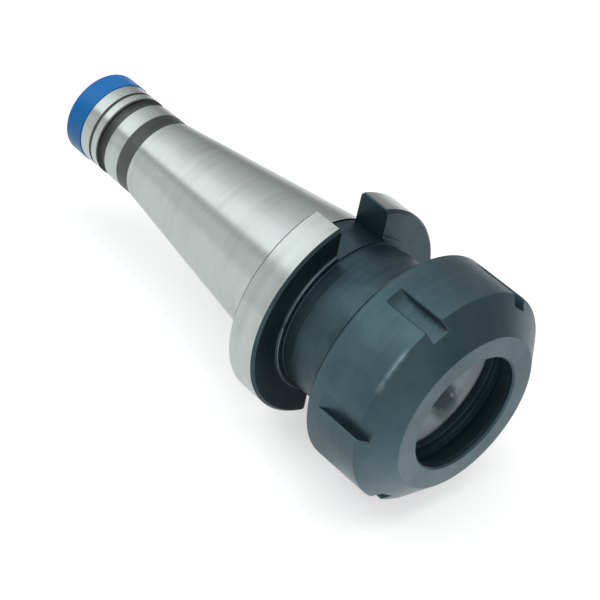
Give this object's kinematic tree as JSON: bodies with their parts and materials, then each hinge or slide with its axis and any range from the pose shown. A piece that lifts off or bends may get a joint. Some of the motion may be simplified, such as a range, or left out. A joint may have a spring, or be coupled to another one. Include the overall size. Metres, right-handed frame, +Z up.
{
  "type": "collet chuck holder",
  "caption": "Steep-taper shank with a notched driving flange, a collet socket at the nose, a slotted clamping nut that turns, and a push-on end cap.",
  "frame": {"origin": "centre of the gauge plane, where the 7/24 taper has its gauge diameter of 44.45 mm", "axes": "+X along the tool axis towards the clamping nut, +Z up, with the two driving notches at the top and the bottom"},
  "size_m": [0.1513, 0.063, 0.063],
  "materials": {
    "holder_steel": "ground taper, pilot and flange rim; satin black oxide on the grooves, flange front, notches and neck",
    "black_oxide_steel": "satin black oxide over fine turning",
    "blue_plastic": "smooth moulded polyethylene"
  },
  "bodies": {
    "holder": {"holder_body": "holder_steel"},
    "nut": {"clamping_nut": "black_oxide_steel"},
    "cap": {"end_cap": "blue_plastic"}
  },
  "joints": [
    {"name": "nut_turn", "type": "hinge", "parent": "holder", "child": "nut", "pos_m": [0.044, 0, 0], "axis": [1, 0, 0], "continuous": true},
    {"name": "cap_pull", "type": "slide", "parent": "holder", "child": "cap", "axis": [-1, 0, 0], "range_m": [0, 0.05]}
  ]
}
